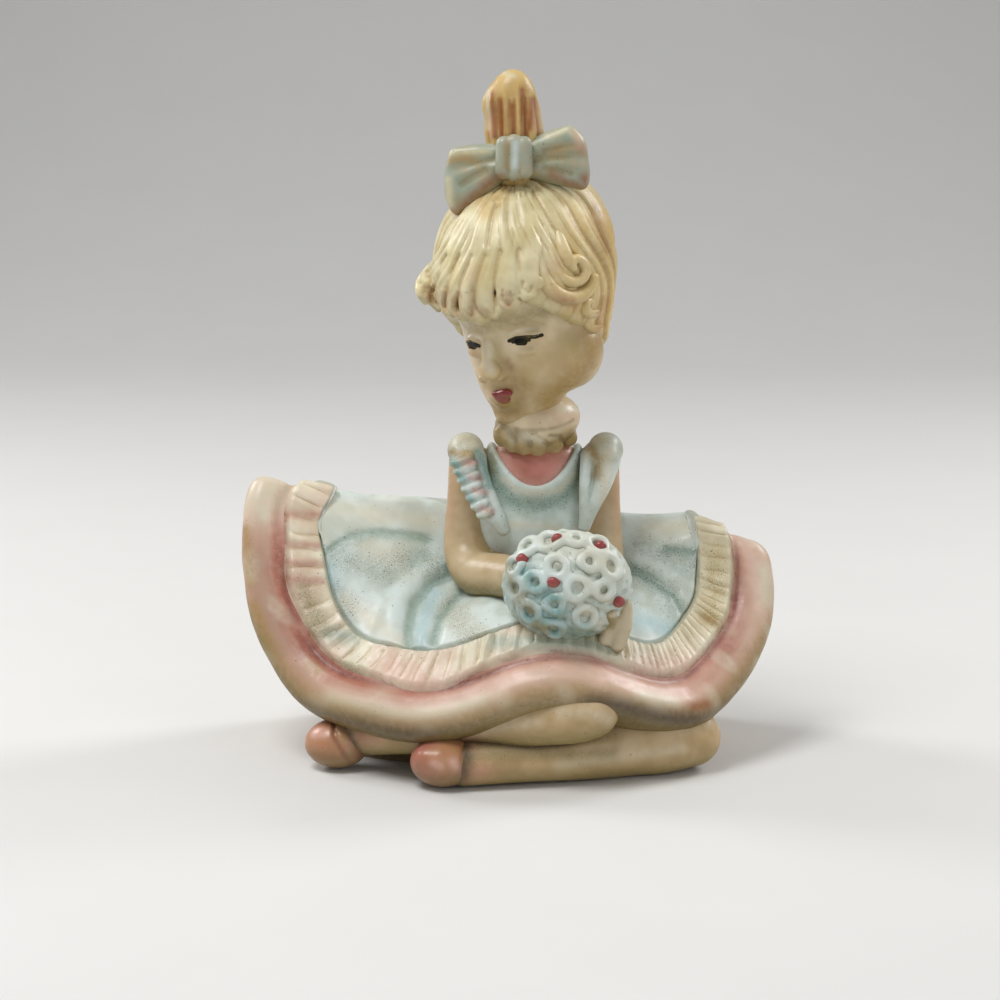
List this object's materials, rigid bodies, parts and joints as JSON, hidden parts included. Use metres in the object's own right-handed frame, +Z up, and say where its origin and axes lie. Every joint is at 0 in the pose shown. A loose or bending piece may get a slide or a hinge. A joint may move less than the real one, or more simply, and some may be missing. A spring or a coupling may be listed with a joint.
{
  "type": "seated girl figurine",
  "caption": "Painted chalkware figure of a seated girl with a spread skirt and a nosegay in her lap, free-standing on a flat base, for a shelf or table.",
  "frame": {"origin": "on the flat underside of the skirt, below the middle between the skirt's two wings", "axes": "+Z up, -Y towards the viewer, +X towards the knees at the viewer's right"},
  "size_m": [0.182, 0.1027, 0.2319],
  "materials": {
    "border_paint": "satin varnish over salmon paint, shaded terracotta in the creases",
    "ruffle_paint": "satin varnish over cream paint with pink in the pleats",
    "apron_paint": "satin varnish over pale blue paint with grey wash in the folds",
    "leg_paint": "satin varnish over ochre flesh paint",
    "shoe_paint": "satin varnish over rose paint",
    "blouse_paint": "satin varnish over pink paint",
    "bib_paint": "satin varnish over pale blue paint with pink pleats",
    "skin_paint": "satin varnish over ivory flesh paint",
    "nosegay_paint": "satin varnish over blue-green paint",
    "bud_paint": "satin varnish over red paint",
    "ruff_paint": "satin varnish over cream and ochre paint",
    "lip_paint": "satin varnish over red paint",
    "hair_paint": "satin varnish over cream paint with golden ochre in the grooves",
    "bow_paint": "satin varnish over pale blue-green paint with cream edges"
  },
  "bodies": {
    "root": {"underskirt": "border_paint", "apron_ruffle": "ruffle_paint", "apron": "apron_paint", "front_leg": "leg_paint", "crossed_leg": "leg_paint", "front_shoe": "shoe_paint", "rear_shoe": "shoe_paint", "blouse": "blouse_paint", "apron_bib": "bib_paint", "left_flounce": "bib_paint", "right_flounce": "bib_paint", "left_arm": "skin_paint", "left_hand": "skin_paint", "right_arm": "skin_paint", "right_hand": "skin_paint", "nosegay": "nosegay_paint", "rosettes": "nosegay_paint", "red_buds": "bud_paint", "neck": "skin_paint", "neck_ruff": "ruff_paint", "head": "skin_paint", "lips": "lip_paint", "hair_cap": "hair_paint", "fringe_locks": "hair_paint", "side_curls": "hair_paint", "ponytail": "hair_paint", "bow_knot": "bow_paint", "bow_left": "bow_paint", "bow_right": "bow_paint"}
  },
  "joints": []
}
